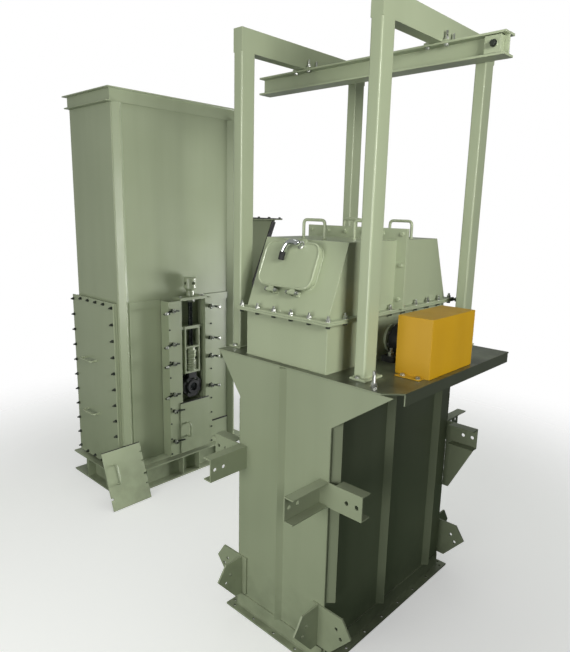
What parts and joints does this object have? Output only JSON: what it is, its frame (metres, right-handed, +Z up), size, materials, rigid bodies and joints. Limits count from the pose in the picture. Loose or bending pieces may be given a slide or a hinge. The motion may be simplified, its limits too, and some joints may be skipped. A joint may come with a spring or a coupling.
{
  "type": "bucket elevator",
  "caption": "Bucket elevator in two free-standing sections: a head with hood, platform and lifting monorail, and a boot with screw take-up, clamped doors and inlet chute.",
  "frame": {"origin": "middle of the footprint box of both sections, on the floor", "axes": "+X across the shafts towards the head section, +Y along the belt away from the hatch, +Z up"},
  "size_m": [2.676, 1.782, 2.5],
  "materials": {
    "green_paint": "gloss sage-green machine paint",
    "yellow_paint": "satin safety-yellow paint",
    "chrome": "polished plating",
    "bright_steel": "turned steel",
    "iron": "dark cast iron",
    "zinc": "zinc plate"
  },
  "bodies": {
    "frame": {"head_wall_front": "green_paint", "head_wall_back": "green_paint", "head_wall_left": "green_paint", "head_wall_right": "green_paint", "head_base_flange": "green_paint", "upper_bracket_front_left": "green_paint", "upper_bracket_front_right": "green_paint", "upper_bracket_back_left": "green_paint", "upper_bracket_back_right": "green_paint", "lower_bracket_front_left": "green_paint", "lower_bracket_front_right": "green_paint", "lower_bracket_back_left": "green_paint", "lower_bracket_back_right": "green_paint", "discharge_spout": "green_paint", "platform_deck": "green_paint", "pulley_box": "green_paint", "hood_front": "green_paint", "hood_rear": "green_paint", "plummer_block_right": "iron", "plummer_block_left": "iron", "coupling_guard": "yellow_paint", "portal_frame_left": "green_paint", "portal_frame_right": "green_paint", "monorail_beam": "green_paint", "monorail_stop": "green_paint", "boot_wall_front": "green_paint", "boot_wall_back": "green_paint", "boot_wall_left": "green_paint", "boot_wall_right": "green_paint", "boot_top_ring": "green_paint", "boot_base_frame": "green_paint", "boot_front_cover": "green_paint", "takeup_frame_right": "green_paint", "takeup_frame_left": "green_paint", "inlet_chute": "green_paint"},
    "hatch": {"hatch_door": "green_paint"},
    "hatch_latch": {"hatch_latch_lever": "chrome"},
    "head_rotor": {"head_shaft": "bright_steel", "head_pulley": "bright_steel", "shaft_coupling": "iron"},
    "boot_carriage": {"takeup_yoke_right": "green_paint", "takeup_yoke_left": "green_paint", "boot_bearing_right": "iron", "boot_bearing_left": "iron"},
    "screw_right": {"takeup_screw_right": "green_paint"},
    "screw_left": {"takeup_screw_left": "green_paint"},
    "boot_rotor": {"boot_shaft": "bright_steel", "boot_pulley": "bright_steel"},
    "door": {"cleaning_door": "green_paint"},
    "loose_door": {"loose_cleaning_door": "green_paint"},
    "left_clamp_1": {"clamp_left_1": "zinc"},
    "left_clamp_2": {"clamp_left_2": "zinc"},
    "left_clamp_3": {"clamp_left_3": "zinc"},
    "left_clamp_4": {"clamp_left_4": "zinc"},
    "right_clamp_1": {"clamp_right_1": "zinc"},
    "right_clamp_2": {"clamp_right_2": "zinc"},
    "right_clamp_3": {"clamp_right_3": "zinc"},
    "right_clamp_4": {"clamp_right_4": "zinc"},
    "door_clamp_1": {"clamp_door_1": "zinc"},
    "door_clamp_2": {"clamp_door_2": "zinc"}
  },
  "joints": [
    {"name": "hatch_hinge", "type": "hinge", "parent": "frame", "child": "hatch", "pos_m": [0.711, -0.65478, 1.48311], "axis": [1, 0, 0], "range_deg": [0, 125]},
    {"name": "hatch_latch_turn", "type": "hinge", "parent": "hatch", "child": "hatch_latch", "pos_m": [0.754, -0.5986, 1.6651], "axis": [0, -0.9312, 0.3645], "range_deg": [0, 90]},
    {"name": "head_shaft_turn", "type": "hinge", "parent": "frame", "child": "head_rotor", "pos_m": [0.738, -0.221, 1.275], "axis": [1, 0, 0], "continuous": true},
    {"name": "takeup_slide", "type": "slide", "parent": "frame", "child": "boot_carriage", "axis": [0, 0, 1], "range_m": [0, 0.14]},
    {"name": "screw_right_turn", "type": "hinge", "parent": "boot_carriage", "child": "screw_right", "pos_m": [-0.707, -0.025, 1.2], "axis": [0, 0, 1], "range_deg": [0, 8400]},
    {"name": "screw_left_turn", "type": "hinge", "parent": "boot_carriage", "child": "screw_left", "pos_m": [-1.297, -0.025, 1.2], "axis": [0, 0, 1], "range_deg": [0, 8400]},
    {"name": "boot_shaft_turn", "type": "hinge", "parent": "boot_carriage", "child": "boot_rotor", "pos_m": [-1.002, -0.025, 0.622], "axis": [1, 0, 0], "continuous": true},
    {"name": "door_slide", "type": "slide", "parent": "frame", "child": "door", "axis": [0, 0, 1], "range_m": [0, 0.25]},
    {"name": "loose_door_lift", "type": "slide", "parent": "frame", "child": "loose_door", "axis": [0, 0, 1], "range_m": [0, 0.3]},
    {"name": "left_clamp_1_turn", "type": "hinge", "parent": "frame", "child": "left_clamp_1", "pos_m": [-0.657, -0.192, 1.157], "axis": [1, 0, 0], "range_deg": [0, 90]},
    {"name": "left_clamp_2_turn", "type": "hinge", "parent": "frame", "child": "left_clamp_2", "pos_m": [-0.657, -0.192, 0.942], "axis": [1, 0, 0], "range_deg": [0, 90]},
    {"name": "left_clamp_3_turn", "type": "hinge", "parent": "frame", "child": "left_clamp_3", "pos_m": [-0.657, -0.192, 0.815], "axis": [1, 0, 0], "range_deg": [0, 90]},
    {"name": "left_clamp_4_turn", "type": "hinge", "parent": "frame", "child": "left_clamp_4", "pos_m": [-0.657, -0.192, 0.609], "axis": [1, 0, 0], "range_deg": [0, 90]},
    {"name": "right_clamp_1_turn", "type": "hinge", "parent": "frame", "child": "right_clamp_1", "pos_m": [-0.657, 0.108, 1.157], "axis": [1, 0, 0], "range_deg": [-90, 0]},
    {"name": "right_clamp_2_turn", "type": "hinge", "parent": "frame", "child": "right_clamp_2", "pos_m": [-0.657, 0.108, 0.942], "axis": [1, 0, 0], "range_deg": [-90, 0]},
    {"name": "right_clamp_3_turn", "type": "hinge", "parent": "frame", "child": "right_clamp_3", "pos_m": [-0.657, 0.108, 0.815], "axis": [1, 0, 0], "range_deg": [-90, 0]},
    {"name": "right_clamp_4_turn", "type": "hinge", "parent": "frame", "child": "right_clamp_4", "pos_m": [-0.657, 0.108, 0.609], "axis": [1, 0, 0], "range_deg": [-90, 0]},
    {"name": "door_clamp_1_turn", "type": "hinge", "parent": "frame", "child": "door_clamp_1", "pos_m": [-0.657, -0.192, 0.494], "axis": [1, 0, 0], "range_deg": [-90, 0]},
    {"name": "door_clamp_2_turn", "type": "hinge", "parent": "frame", "child": "door_clamp_2", "pos_m": [-0.657, -0.192, 0.285], "axis": [1, 0, 0], "range_deg": [-90, 0]}
  ],
  "couplings": [
    {"joint": "screw_right_turn", "follows": "takeup_slide", "rad_per_m": 1047.2},
    {"joint": "screw_left_turn", "follows": "takeup_slide", "rad_per_m": 1047.2}
  ]
}
